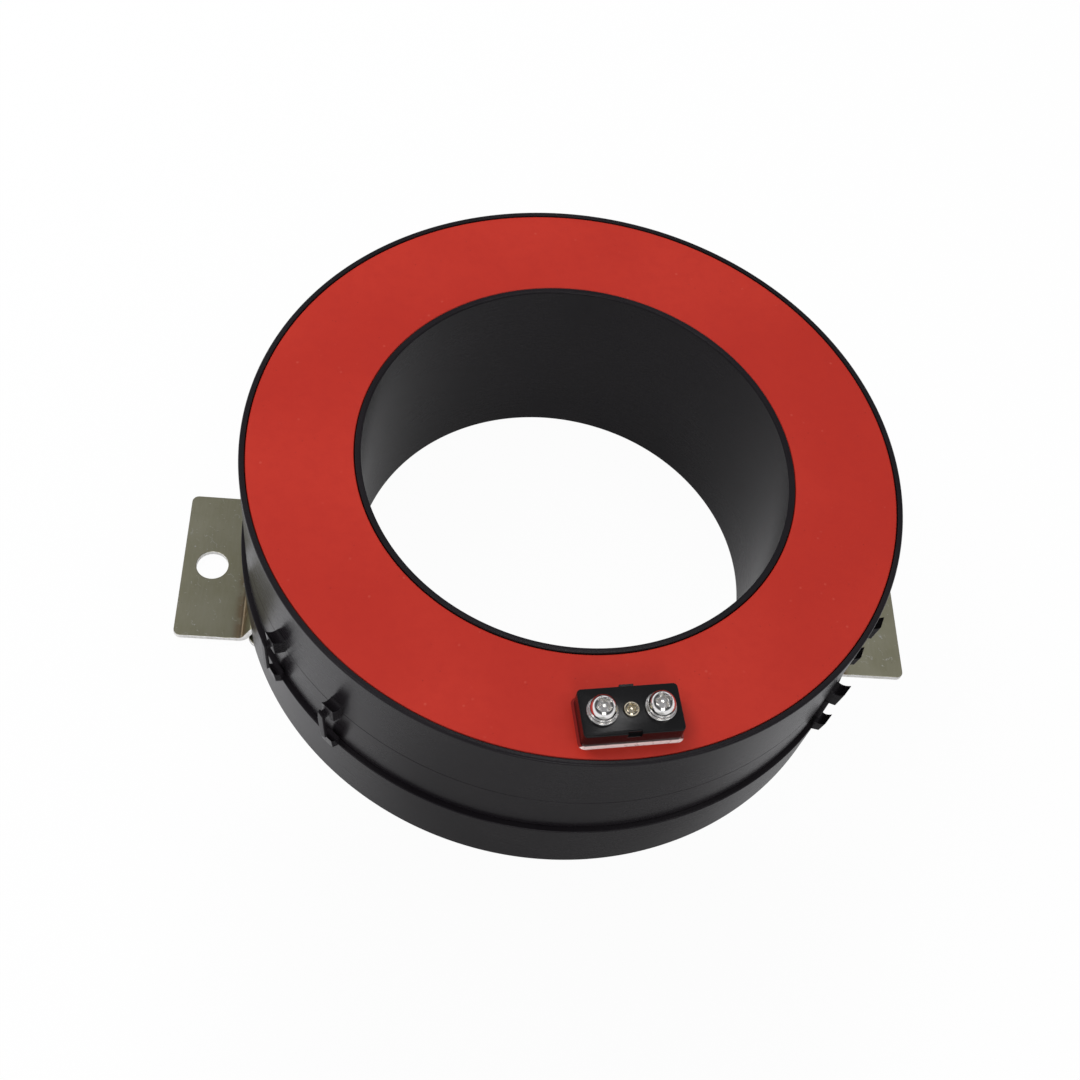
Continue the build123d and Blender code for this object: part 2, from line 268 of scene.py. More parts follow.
def joined(shapes):
    """Several shapes as one."""
    points, faces, start = [], [], 0
    for p, f in shapes:
        points.append(p)
        faces += [[start + i for i in face] for face in f]
        start += len(p)
    return np.concatenate(points), faces


def make_piece(name, shape, material, replaced=(), merge=0.0, sharp=35, bevel=0.0, thickness=0.0,
               cut=None):
    """Puts a shape into a mesh in metres, finishes its edges and hangs it on the part.

    A sheet is given as its upper side and its thickness, and cut is the finish of its cut edges.
    """
    points, faces = shape
    mesh = bpy.data.meshes.new(name)
    mesh.from_pydata((points * MM).tolist(), [], faces)
    mesh.update()
    piece = bpy.data.objects.new(name, mesh)
    bpy.context.scene.collection.objects.link(piece)
    if merge:
        work = bmesh.new()
        work.from_mesh(mesh)
        bmesh.ops.remove_doubles(work, verts=work.verts, dist=merge * MM)
        bmesh.ops.dissolve_degenerate(work, edges=work.edges, dist=merge * MM)
        work.to_mesh(mesh)
        work.free()
    mesh.polygons.foreach_set("use_smooth", np.ones(len(mesh.polygons), bool))
    mesh.set_sharp_from_angle(angle=radians(sharp))
    mesh.materials.append(material)
    if thickness:
        wall = piece.modifiers.new("sheet", "SOLIDIFY")
        wall.thickness = thickness * MM
        wall.offset = -1
        wall.use_even_offset = True
        mesh.materials.append(cut)
        wall.material_offset_rim = 1
    if bevel:
        edge = piece.modifiers.new("edges", "BEVEL")
        edge.width = bevel * MM
        edge.segments = 3
        edge.limit_method = "ANGLE"
        edge.angle_limit = radians(sharp)
        edge.harden_normals = False
        even = piece.modifiers.new("shading", "WEIGHTED_NORMAL")
        even.keep_sharp = False
    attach(piece, "root")
    if replaced:
        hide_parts(*replaced)
    return piece


# Finishes

class Wire:
    """A shader socket that takes part in arithmetic: an expression on wires adds its Math nodes."""

    def __init__(self, graph, socket):
        self.graph = graph
        self.socket = socket

    def math(self, kind, *others):
        """The Math node of that kind, on this wire and then the others."""
        return self.graph.node("Math", {"operation": kind}, dict(enumerate([self, *others])))

    def __add__(self, other):
        return self.math("ADD", other)

    def __sub__(self, other):
        return self.math("SUBTRACT", other)

    def __rsub__(self, other):
        return self.math("MULTIPLY_ADD", -1.0, other)

    def __mul__(self, other):
        return self.math("MULTIPLY", other)

    __radd__ = __add__
    __rmul__ = __mul__

    def step(self, low, high):
        """0 below low, 1 above high, smooth between."""
        values = {"Value": self, "From Min": low, "From Max": high}
        return self.graph.node("MapRange", {"interpolation_type": "SMOOTHSTEP"}, values)


class Graph:
    """A shader tree, emptied first, with a method that adds any node."""

    def __init__(self, tree):
        self.tree = tree
        tree.nodes.clear()

    def node(self, kind, settings=None, inputs=None, output=0):
        """Adds a node, sets it, feeds its inputs and gives the wire of one output."""
        node = self.tree.nodes.new("ShaderNode" + kind)
        for name, value in (settings or {}).items():
            setattr(node, name, value)
        for name, value in (inputs or {}).items():
            self.feed(node.inputs[name], value)
        return Wire(self, node.outputs[output])

    def feed(self, socket, value):
        """Links a wire to a socket, or sets the socket to a colour, vector or number."""
        if isinstance(value, Wire):
            self.tree.links.new(value.socket, socket)
        elif isinstance(value, tuple) and socket.type == "RGBA":
            socket.default_value = (*value, 1)
        else:
            socket.default_value = value


class Finish(Graph):
    """One material: a Principled shader, and the place on the part that its patterns use."""

    def __init__(self, name, **constants):
        self.material = bpy.data.materials.new(name)
        self.material.use_nodes = True
        super().__init__(self.material.node_tree)
        self.output = self.tree.nodes.new("ShaderNodeOutputMaterial")
        self.shader = self.tree.nodes.new("ShaderNodeBsdfPrincipled")
        self.tree.links.new(self.shader.outputs[0], self.output.inputs[0])
        self.place = self.node("TexCoord", output="Object")
        for socket, value in constants.items():
            self.put(socket.replace("_", " ").title().replace("Ior", "IOR"), value)

    def put(self, socket, value):
        """Sets or links one of the shader's own sockets."""
        self.feed(self.shader.inputs[socket], value)

    def noise(self, scale, detail=3.0, roughness=0.5, stretch=None):
        """Noise of that many cells a metre, stretched by the factors on x, y and z."""
        place = self.place
        if stretch:
            place = self.node("Mapping", None, {"Vector": place, "Scale": stretch})
        values = {"Vector": place, "Scale": scale, "Detail": detail, "Roughness": roughness}
        return self.node("TexNoise", None, values)

    def cells(self, scale):
        """Distance to the nearest of scattered points, that many a metre."""
        return self.node("TexVoronoi", None, {"Vector": self.place, "Scale": scale}, "Distance")

    def mix(self, factor, a, b):
        """Colour a where factor is 0 and colour b where it is 1."""
        return self.node("Mix", {"data_type": "RGBA"}, {"Factor": factor, 6: a, 7: b}, 2)

    def bump(self, height, depth):
        """Relief of that depth in millimetres."""
        values = {"Height": height, "Distance": depth * MM, "Strength": 1.0}
        self.put("Normal", self.node("Bump", None, values))

    def axes(self):
        """The x, y and z wires of the place on the part, in metres."""
        return [self.node("SeparateXYZ", None, {0: self.place}, axis) for axis in "XYZ"]


def black_moulding():
    """Satin black moulded plastic: fine spark-eroded grain, faint dust and handling marks."""
    f = Finish("black_abs", specular_ior_level=0.18)
    grain = f.noise(2600, 2.0, 0.6)
    cloud = f.noise(18, 3.0, 0.55)
    streak = f.noise(60, 2.0, 0.5, stretch=(1, 1, 12))
    dust = f.cells(420).step(0.10, 0.02) * f.noise(90, 2.0).step(0.52, 0.70)
    tone = f.mix(cloud.step(0.3, 0.7), (0.0100, 0.0084, 0.0104), (0.0145, 0.0125, 0.0148))
    tone = f.mix(dust * 0.35, tone, (0.11, 0.105, 0.10))
    f.put("Base Color", tone)
    f.put("Roughness", 0.17 + 0.10 * cloud + 0.05 * grain + 0.04 * streak)
    f.bump(grain + 0.35 * streak, 0.010)
    return f.material


def red_resin():
    """Cast red resin: even colour with slow mottling, fine pits and specks, a soft satin skin."""
    f = Finish("red_resin", specular_ior_level=0.25)
    slow = f.noise(14, 2.0, 0.5)
    fine = f.noise(260, 4.0, 0.6)
    specks = f.cells(240).step(0.16, 0.05) * f.noise(130, 1.0).step(0.55, 0.68)
    pits = f.cells(330).step(0.12, 0.03) * f.noise(75, 1.0).step(0.50, 0.62)
    tone = f.mix(slow.step(0.32, 0.68), (0.450, 0.0220, 0.0120), (0.500, 0.0290, 0.0160))
    tone = f.mix(fine.step(0.35, 0.75) * 0.25, tone, (0.40, 0.018, 0.012))
    tone = f.mix(specks * 0.35, tone, (0.62, 0.10, 0.07))
    tone = f.mix(pits * 0.45, tone, (0.24, 0.012, 0.009))
    f.put("Base Color", tone)
    f.put("Roughness", 0.40 + 0.14 * fine + 0.06 * slow)
    f.bump(fine * 0.6 + slow * 3.0 - pits * 1.2 + specks * 0.6, 0.03)
    return f.material


def resin_edge():
    """The thin skin of resin drawn up against the block, dark red with painted shade in the crease, pale
    along the block's front and right side.
    """
    f = Finish("resin_edge", specular_ior_level=0.15)
    a = radians(HEAD_ANGLE)
    x, y, _ = f.axes()
    outward = x * cos(a) + y * sin(a)
    front = outward.step((BLOCK_RADIUS + BLOCK_DEPTH / 2 - 0.6) * MM, (BLOCK_RADIUS + BLOCK_DEPTH / 2) * MM)
    right = (y * cos(a) - x * sin(a)).step((BLOCK_LENGTH / 2 - 0.8) * MM, (BLOCK_LENGTH / 2 + 0.2) * MM)
    ragged = f.noise(900, 3.0, 0.6)
    pale = (front + 0.45 * right).step(0.35, 0.95) * ragged.step(0.22, 0.45)
    # painted shade: the dark red of the crease at the block's foot; the pale tone lies along the block's
    # front and right side
    f.put("Base Color", f.mix(pale, (0.20, 0.012, 0.010), (0.90, 0.70, 0.68)))
    f.put("Roughness", 0.50 + 0.15 * ragged)
    f.bump(ragged, 0.05)
    return f.material


def gloss_black():
    """Glossy black terminal moulding with faint swirls of polish and a little dust."""
    f = Finish("terminal_plastic", specular_ior_level=0.28)
    cloud = f.noise(120, 3.0, 0.55)
    fine = f.noise(1500, 2.0, 0.5)
    dust = f.cells(900).step(0.12, 0.03) * f.noise(300, 1.0).step(0.58, 0.72)
    f.put("Base Color", f.mix(dust * 0.3, (0.0055, 0.0055, 0.0060), (0.10, 0.10, 0.10)))
    f.put("Roughness", 0.11 + 0.08 * cloud + 0.05 * fine)
    f.bump(cloud * 2.0 + fine * 0.25, 0.01)
    return f.material


def zinc_sheet():
    """Zinc-plated sheet: an olive cast, fine rolled streaks, pits, glints and brown stains by the bend."""
    f = Finish("zinc_steel", metallic=1.0)
    streak = f.noise(110, 3.0, 0.6, stretch=(9, 1, 9))
    cloud = f.noise(45, 4.0, 0.6)
    fine = f.noise(1400, 3.0, 0.6)
    pits = f.cells(700).step(0.14, 0.03) * f.noise(160, 2.0).step(0.48, 0.62)
    glints = f.cells(620).step(0.20, 0.07) * f.noise(210, 2.0).step(0.46, 0.60)
    waves = {"Vector": f.place, "Scale": 95.0, "Distortion": 9.0, "Detail": 3.0, "Detail Scale": 2.0}
    lines = f.node("TexWave", {"bands_direction": "DIAGONAL"}, waves, "Fac")
    scratch = lines.step(0.988, 1.0) * f.noise(260, 2.0).step(0.54, 0.62)
    x, _, _ = f.axes()
    side = x.math("ABSOLUTE")
    outside = side.step((JOGGLE_OUTER + 4.5) * MM, (JOGGLE_OUTER + 1.0) * MM)
    inside = side.step((JOGGLE_OUTER - 3.0) * MM, JOGGLE_OUTER * MM)
    stain = outside * inside * f.noise(140, 3.0).step(0.25, 0.5)
    tone = f.mix(cloud.step(0.3, 0.72), (0.52, 0.50, 0.33), (0.62, 0.60, 0.43))
    tone = f.mix(streak.step(0.35, 0.75) * 0.35, tone, (0.66, 0.64, 0.50))
    tone = f.mix(stain * 0.65, tone, (0.34, 0.20, 0.11))
    tone = f.mix(pits * 0.7, tone, (0.20, 0.17, 0.11))
    tone = f.mix(scratch * 0.8, tone, (0.92, 0.91, 0.86))
    tone = f.mix(glints * 0.7, tone, (0.95, 0.95, 0.90))
    f.put("Base Color", tone)
    f.put("Roughness", 0.20 + 0.12 * cloud + 0.08 * fine + 0.08 * streak)
    f.bump(fine * 0.5 + streak - pits * 0.8 - scratch * 0.5 + glints * 2.0, 0.014)
    return f.material


def cut_edge():
    """The bright sheared edge of the sheet: upright shear lines over a thin plating."""
    f = Finish("zinc_cut_edge", metallic=1.0)
    lines = f.noise(900, 3.0, 0.6, stretch=(1, 1, 0.15))
    cloud = f.noise(160, 3.0, 0.6)
    f.put("Base Color", f.mix(lines.step(0.35, 0.75), (0.98, 0.97, 0.95), (0.82, 0.81, 0.77)))
    f.put("Roughness", 0.24 + 0.18 * cloud)
    f.bump(lines, 0.02)
    return f.material


def nickel(name, tone, dark):
    """Bright nickel plate: near mirror, with faint turning marks and a few tarnish spots."""
    f = Finish(name, metallic=1.0)
    cloud = f.noise(500, 3.0, 0.6)
    fine = f.noise(3500, 2.0, 0.5)
    spots = f.cells(1500).step(0.16, 0.04) * f.noise(700, 1.0).step(0.55, 0.70)
    f.put("Base Color", f.mix(spots * 0.6 + cloud.step(0.45, 0.8) * 0.25, tone, dark))
    f.put("Roughness", 0.10 + 0.10 * cloud + 0.05 * fine)
    f.bump(cloud * 1.5 + fine * 0.3, 0.006)
    return f.material


def plain_plastic(name, tone, shade):
    """A plain natural moulding or wire covering, with slow mottling and a fine grain."""
    f = Finish(name)
    cloud = f.noise(60, 3.0, 0.5)
    grain = f.noise(1800, 2.0, 0.5)
    f.put("Base Color", f.mix(cloud.step(0.3, 0.7), tone, shade))
    f.put("Roughness", 0.42 + 0.12 * grain)
    f.bump(grain, 0.02)
    return f.material


def wound(name, tone, shade, metallic, lines, depth, by_radius):
    """Wound strip, wire or tape: fine lines round the core or across it, by radius or by angle."""
    f = Finish(name, metallic=metallic)
    x, y, _ = f.axes()
    distance = (x * x + y * y).math("SQRT") if by_radius else y.math("ARCTAN2", x)
    wave = (distance * lines).math("SINE")
    cloud = f.noise(80, 3.0, 0.5)
    f.put("Base Color", f.mix((wave * 0.5 + 0.5) * 0.7 + cloud * 0.3, shade, tone))
    f.put("Roughness", 0.28 + 0.20 * cloud)
    f.bump(wave + cloud * 0.3, depth)
    return f.material


BLACK = black_moulding()
RED = red_resin()
EDGE = resin_edge()
TERMINAL = gloss_black()
ZINC = zinc_sheet()
CUT_EDGE = cut_edge()
NICKEL = nickel("nickel_screw", (0.92, 0.905, 0.88), (0.50, 0.46, 0.40))
CENTRE_NICKEL = nickel("centre_screw_plate", (0.76, 0.69, 0.53), (0.42, 0.32, 0.18))

slot_finishes = {
    "brass_insert": nickel("brass_insert", (0.72, 0.55, 0.25), (0.45, 0.30, 0.12)),
    "core_steel": wound("core_steel", (0.42, 0.42, 0.44), (0.20, 0.20, 0.22), metallic=1.0,
                        lines=30000.0, depth=0.03, by_radius=True),
    "core_plastic": plain_plastic("core_plastic", (0.75, 0.74, 0.70), (0.66, 0.64, 0.58)),
    "enamelled_copper": wound("enamelled_copper", (0.62, 0.26, 0.11), (0.30, 0.10, 0.04), metallic=0.8,
                              lines=520.0, depth=0.20, by_radius=False),
    "winding_tape": wound("winding_tape", (0.78, 0.63, 0.22), (0.62, 0.46, 0.12), metallic=0.0,
                          lines=60.0, depth=0.08, by_radius=False),
    "lead_insulation": plain_plastic("lead_insulation", (0.70, 0.68, 0.64), (0.60, 0.57, 0.52)),
    "zinc_steel": ZINC,
    "nickel_screw": NICKEL,
    "black_abs": BLACK,
    "red_resin": RED,
    "terminal_plastic": TERMINAL,
}
for row in frame["record"]["subparts"]:
    mesh = nodes[row["node"]].data
    mesh.materials.clear()
    mesh.materials.append(slot_finishes[row["material_slot"]])


# Housing

wall_slope = (RIM_RADIUS - SEAM_RADIUS) / (RIM_TOP - SEAM_HEIGHT)
witness_radius = SEAM_RADIUS + wall_slope * (WITNESS_HEIGHT - SEAM_HEIGHT)
tube_outer = BORE_RADIUS + BORE_WALL
rim_inner = RIM_RADIUS - RIM_WALL
housing_path = rounded_path([
    (SEAM_RADIUS, SEAM_HEIGHT, SEAM_ROUND),
    (witness_radius, WITNESS_HEIGHT - 3 * WITNESS_HALF, 0),
    (witness_radius, WITNESS_HEIGHT - WITNESS_HALF, 0),
    (witness_radius - WITNESS_DEPTH, WITNESS_HEIGHT, 0),
    (witness_radius, WITNESS_HEIGHT + WITNESS_HALF, 0),
    (witness_radius, WITNESS_HEIGHT + 3 * WITNESS_HALF, 0),
    (RIM_RADIUS, RIM_TOP, RIM_ROUND),
    (rim_inner, RIM_TOP, INNER_EDGE_ROUND),
    (CAVITY_LOW_RADIUS, HOUSING_BOTTOM + HOUSING_FLOOR, 0),
    (tube_outer, HOUSING_BOTTOM + HOUSING_FLOOR, 0),
    (tube_outer, RIM_TOP, INNER_EDGE_ROUND),
    (BORE_RADIUS, RIM_TOP, RIM_ROUND),
    (BORE_RADIUS, TUBE_BOTTOM, INNER_EDGE_ROUND),
    (tube_outer, TUBE_BOTTOM, INNER_EDGE_ROUND),
    (tube_outer, HOUSING_BOTTOM, 0),
    (NEST_RADIUS, HOUSING_BOTTOM, 0),
    (NEST_RADIUS, SEAM_HEIGHT, 0),
])
make_piece("housing_shell", ring(housing_path), BLACK, ["housing"])


# Hook lugs and snap tongues

def lug_outline(root, bottom, height, reach):
    """Side of a lug in (radius, height): rises outward, with a round groove on top up to a raised tip."""
    top = bottom + height
    dip = LUG_DIP * reach / LUG_REACH
    start = np.array([root + 0.2, top])
    low = np.array([root + reach / 2, top + LUG_RISE / 2 - dip])
    tip = np.array([root + reach, top + LUG_RISE])
    t = np.linspace(0, 1, 9)[:, None]
    middle = 2 * low - (start + tip) / 2
    groove = (1 - t) ** 2 * start + 2 * t * (1 - t) * middle + t ** 2 * tip
    outer = np.array([(root + reach - LUG_UNDERCUT, bottom + LUG_RISE), (root - LUG_ROOT, bottom),
                      (root - LUG_ROOT, top)])
    return np.concatenate([groove, outer])[::-1]


def lug_shape(root, bottom, height, reach, angle):
    """One lug: its side outline carried across its width, turned to its place on the ring."""
    side = prism(lug_outline(root, bottom, height, reach), -LUG_WIDTH / 2, LUG_WIDTH / 2)
    return placed(side, turn=angle, order=(0, 2, 1))


def tongue_shape(angle):
    """A thin slanted tongue in front of the lug, from the upper lug's side down over the lower lug."""
    side = -LUG_WIDTH / 2
    high = UPPER_LUG_BOTTOM + TONGUE_START
    low = UPPER_LUG_BOTTOM - TONGUE_DROP
    outline = np.array([
        (side, high), (side, UPPER_LUG_BOTTOM + TONGUE_SLANT), (-TONGUE_WIDTH / 2, low),
        (TONGUE_WIDTH / 2, low + TONGUE_SLANT / 2), (side + TONGUE_WIDTH, high - TONGUE_SLANT)])
    start = UPPER_LUG_RADIUS + LUG_REACH + CLEARANCE
    strip = placed(prism(outline, start, start + TONGUE_THICKNESS), turn=angle, order=(2, 0, 1))
    bridge_outline = np.array([
        (side, high - TONGUE_SLANT), (side, UPPER_LUG_BOTTOM + LUG_RISE),
        (side + TONGUE_WIDTH, UPPER_LUG_BOTTOM + LUG_RISE), (side + TONGUE_WIDTH, high - TONGUE_SLANT)])
    bridge = placed(prism(bridge_outline, UPPER_LUG_RADIUS + LUG_REACH - 2 * LUG_UNDERCUT, start + 0.2),
                    turn=angle, order=(2, 0, 1))
    return joined([strip, bridge])


def guide_shape(angle):
    """The narrow rib on the wall under an upper lug, down to the lower lug."""
    side = -LUG_WIDTH / 2
    start = UPPER_LUG_RADIUS - LUG_ROOT
    end = UPPER_LUG_RADIUS + GUIDE_REACH
    outline = np.array([(start, side), (end, side), (end, side + GUIDE_WIDTH), (start, side + GUIDE_WIDTH)])
    low = LOWER_LUG_BOTTOM + LOWER_LUG_HEIGHT + LUG_RISE + CLEARANCE
    return placed(prism(outline, low, UPPER_LUG_BOTTOM + LUG_RISE), turn=angle)


tongue_angles = [LUG_ANGLE + half - offset for half in (0, 180) for offset in LUG_OFFSETS]
guide_angles = [LUG_ANGLE + half + offset for half in (0, 180) for offset in LUG_OFFSETS]
lug_angles = tongue_angles + guide_angles
lower_reach = UPPER_LUG_RADIUS + LUG_REACH - BASE_LIP_RADIUS
upper = [lug_shape(UPPER_LUG_RADIUS, UPPER_LUG_BOTTOM, UPPER_LUG_HEIGHT, LUG_REACH, a) for a in lug_angles]
lower = [lug_shape(BASE_LIP_RADIUS, LOWER_LUG_BOTTOM, LOWER_LUG_HEIGHT, lower_reach, a) for a in lug_angles]
make_piece("upper_lugs", joined(upper), BLACK, bevel=0.35)
make_piece("lower_lugs", joined(lower), BLACK, bevel=0.35)
make_piece("snap_tongues", joined([tongue_shape(a) for a in tongue_angles]), BLACK, bevel=0.25)
make_piece("guide_ribs", joined([guide_shape(a) for a in guide_angles]), BLACK, bevel=0.2)


# Base ring

def over_window(turn):
    """Where a direction from the bore's axis crosses a foot's window."""
    return np.abs(BASE_LOW_RADIUS * np.sin(turn) - FOOT_SHIFT) < WINDOW_HALF


def base_wall_shape(count=576):
    """The drafted outer wall, carried round the bore, its lower edge lifted over the foot windows.

    Where a direction crosses a window, each point below the window's top is moved up to it. Two
    directions close to each side of a window keep its sides upright.
    """
    path = rounded_path([
        (BASE_LOW_RADIUS, BASE_BOTTOM, BOTTOM_ROUND), (BASE_LIP_RADIUS, BASE_LIP_HEIGHT, LIP_ROUND),
        (BASE_LIP_INNER, BASE_LIP_HEIGHT, INNER_EDGE_ROUND), (BASE_LIP_INNER, HOUSING_BOTTOM, 0),
        (LEDGE_RADIUS, HOUSING_BOTTOM, 0), (LEDGE_RADIUS, BASE_BOTTOM, 0)])
    side = np.arcsin((np.array([-WINDOW_HALF, WINDOW_HALF]) + FOOT_SHIFT) / BASE_LOW_RADIUS)
    sides = np.concatenate([side, pi - side]) % (2 * pi)
    even = np.linspace(0, 2 * pi, count, endpoint=False)
    turn = np.sort(np.concatenate([even, sides - SIDE_NUDGE, sides + SIDE_NUDGE]))[:, None]
    height = np.where(over_window(turn) & (path[:, 1] < WINDOW_TOP), WINDOW_TOP, path[:, 1])
    points = around(path[:, 0], turn, height)
    return points.reshape(-1, 3), grid_faces(len(turn), len(path), True, True).tolist()


def floor_shape(count=576):
    """The floor disc, with its edge cut straight at the outer side of each pad."""
    path = np.array([(tube_outer + CLEARANCE, BASE_BOTTOM), (LEDGE_RADIUS + FLOOR_LAP, BASE_BOTTOM),
                     (LEDGE_RADIUS + FLOOR_LAP, BASE_FLOOR_TOP), (tube_outer + CLEARANCE, BASE_FLOOR_TOP)])
    turn = np.linspace(0, 2 * pi, count, endpoint=False)[:, None]
    straight = PAD_OUTER / np.maximum(np.abs(np.cos(turn)), 1e-6)
    radius = np.where(over_window(turn), np.minimum(path[:, 0], straight), path[:, 0])
    points = around(radius, turn, path[:, 1])
    return points.reshape(-1, 3), grid_faces(count, len(path), True, True).tolist()


rib_path = np.array([(RIB_INNER, BASE_FLOOR_TOP - LAP), (RIB_OUTER, BASE_FLOOR_TOP - LAP),
                     (RIB_OUTER, HOUSING_BOTTOM), (RIB_INNER, HOUSING_BOTTOM)])
pad_outline = np.array([(FOOT_INNER, -FOOT_HALF), (PAD_OUTER, -FOOT_HALF), (PAD_OUTER, FOOT_HALF),
                        (FOOT_INNER, FOOT_HALF)])
pads = [placed(prism(pad_outline, BASE_FLOOR_TOP - LAP, JOGGLE_RISE), (0, FOOT_SHIFT, 0), side)
        for side in (0, 180)]
make_piece("base_ring_shell", joined([base_wall_shape(), floor_shape(), ring(rib_path), *pads]), BLACK,
           ["base_ring"])


# Cast resin

fall = (rim_inner - CAVITY_LOW_RADIUS) * (RIM_TOP - RESIN_TOP) / (RIM_TOP - HOUSING_BOTTOM - HOUSING_FLOOR)
resin_bottom = HOUSING_BOTTOM + HOUSING_FLOOR + RESIN_GAP
resin_path = rounded_path([
    (CAVITY_LOW_RADIUS - CLEARANCE, resin_bottom, 0),
    (rim_inner - CLEARANCE - fall, RESIN_TOP, RESIN_EDGE_ROUND),
    (tube_outer + CLEARANCE, RESIN_TOP, RESIN_EDGE_ROUND),
    (tube_outer + CLEARANCE, resin_bottom, 0),
])
make_piece("resin_cast", ring(resin_path), RED, ["cast_resin"])


# Feet and clamp plates

def foot_line():
    """The foot's upper side in (x, height), from the flat outside up the joggle to the clamped end."""
    raised = JOGGLE_RISE + FOOT_THICKNESS
    return rounded_path([
        (FOOT_HOLE_X - HOLE_MARGIN, FOOT_THICKNESS, 0), (JOGGLE_OUTER, FOOT_THICKNESS, JOGGLE_BEND),
        (JOGGLE_INNER, raised, JOGGLE_BEND), (FOOT_INNER, raised, 0)], steps=8, guard=0.2)


def foot_edge(inner_x, across):
    """The outline of the foot's flat part, from its inner end round the two rounded outer corners."""
    corner_x, corner_y = FOOT_REACH - FOOT_CORNER, FOOT_HALF - FOOT_CORNER
    arc = np.linspace(0, pi / 2, 7)
    rising, falling = FOOT_CORNER * np.sin(arc), FOOT_CORNER * np.cos(arc)
    along = np.linspace(inner_x, corner_x, 7)[1:-1]
    outer_y = np.linspace(-corner_y, corner_y, 19)[1:-1]
    return np.concatenate([
        columns(inner_x, across[::-1]), columns(along, -FOOT_HALF),
        columns(corner_x + rising, -corner_y - falling), columns(FOOT_REACH, outer_y),
        columns(corner_x + falling, corner_y + rising), columns(along[::-1], FOOT_HALF)])


def foot_shape(side):
    """The foot's upper surface: rings of points from the hole out to the plate's edge, then a strip
    carried along the joggle. A point of the rings is (1 - s) hole + s edge.
    """
    across = np.linspace(-FOOT_HALF, FOOT_HALF, 25)
    line = foot_line()
    strip = columns(line[:, :1], across, line[:, 1:])
    strip_faces = grid_faces(len(line), len(across), False, False)[:, ::-1].tolist()
    edge = foot_edge(line[0, 0], across)
    direction = np.unwrap(np.arctan2(edge[:, 1], edge[:, 0] - FOOT_HOLE_X))
    even = np.linspace(direction[0], direction[0] + 2 * pi, len(edge), endpoint=False)
    turn = (direction + even) / 2
    hole = columns(FOOT_HOLE_X + FOOT_HOLE_RADIUS * np.cos(turn), FOOT_HOLE_RADIUS * np.sin(turn))
    s = np.array([0, 0.06, 0.2, 0.4, 0.6, 0.8, 0.95, 1.0])[:, None, None]
    flat = (1 - s) * hole + s * edge
    flat_points = columns(flat[..., 0], flat[..., 1], FOOT_THICKNESS)
    flat_faces = grid_faces(len(s), len(edge), False, True).tolist()
    whole = joined([(strip.reshape(-1, 3), strip_faces), (flat_points.reshape(-1, 3), flat_faces)])
    return placed(whole, (0, FOOT_SHIFT, 0), side)


def plate_shape(side):
    """The clamp plate's upper side, one flat face with rounded outer corners."""
    half = FOOT_HALF + PLATE_OVERHANG
    path = rounded_path([(FOOT_INNER, -half, 0), (PLATE_OUTER, -half, PLATE_CORNER),
                         (PLATE_OUTER, half, PLATE_CORNER), (FOOT_INNER, half, 0)], steps=8)
    points = columns(path[:, 0], path[:, 1], FOOT_THICKNESS)
    return placed((points, [list(range(len(path)))]), (0, FOOT_SHIFT, 0), side)


for name, side in {"right": 0, "left": 180}.items():
    make_piece(f"foot_sheet_{name}", foot_shape(side), ZINC, [f"foot_{name}"],
               merge=0.01, bevel=0.22, thickness=FOOT_THICKNESS, sharp=40, cut=CUT_EDGE)
    make_piece(f"clamp_sheet_{name}", plate_shape(side), ZINC, [f"clamp_plate_{name}"],
               bevel=0.35, thickness=FOOT_THICKNESS, sharp=40, cut=CUT_EDGE)


# Terminal block

head_turn = radians(HEAD_ANGLE)
block_centre = (BLOCK_RADIUS * cos(head_turn), BLOCK_RADIUS * sin(head_turn), 0)


def on_block(shape):
    """A shape drawn about the block's middle, x outward and y along the block, put on the ring."""
    return placed(shape, block_centre, HEAD_ANGLE)


def block_loop(height, tab=False, notch=False, inset=0.0):
    """The block's plan at a height above the resin: a rectangle with rounded corners, which may have
    a tab at the back and a notch at the front.
    """
    x, y = BLOCK_DEPTH / 2 - inset, BLOCK_LENGTH / 2 - inset
    corner = BLOCK_CORNER - inset
    half = TAB_WIDTH / 2
    arc = np.linspace(0, pi / 2, 7)

    def corner_at(cx, cy, start):
        return columns(cx + corner * np.cos(start + arc), cy + corner * np.sin(start + arc))

    front = x - (TAB_DEPTH if notch else 0)
    back = -x - (TAB_DEPTH if tab else 0)
    plan = np.concatenate([
        np.array([(x, -half), (front, -half), (front, half), (x, half)]),
        corner_at(x - corner, y - corner, 0), corner_at(-x + corner, y - corner, pi / 2),
        np.array([(-x, half), (back, half), (back, -half), (-x, -half)]),
        corner_at(-x + corner, -y + corner, pi), corner_at(x - corner, -y + corner, 3 * pi / 2)])
    return columns(plan[:, 0], plan[:, 1], RESIN_TOP + height)


def block_shape():
    """Plans stacked from the bottom up and joined side by side, with the top edge rounded in."""
    notch_bottom = BLOCK_HEIGHT - NOTCH_HEIGHT
    round_bottom = BLOCK_HEIGHT - BLOCK_TOP_ROUND
    loops = [block_loop(-BLOCK_SINK), block_loop(TAB_BOTTOM), block_loop(TAB_BOTTOM, tab=True),
             block_loop(notch_bottom, tab=True), block_loop(notch_bottom, tab=True, notch=True),
             block_loop(TAB_TOP, tab=True, notch=True), block_loop(TAB_TOP, notch=True)]
    for t in np.linspace(0, pi / 2, 6):
        height, inset = round_bottom + BLOCK_TOP_ROUND * sin(t), BLOCK_TOP_ROUND * (1 - cos(t))
        loops.append(block_loop(height, notch=True, inset=inset))
    count = len(loops[0])
    last = count * (len(loops) - 1)
    faces = grid_faces(len(loops), count, False, True)[:, ::-1].tolist()
    faces += [list(range(count))[::-1], list(range(last, last + count))]
    return on_block((np.concatenate(loops), faces))


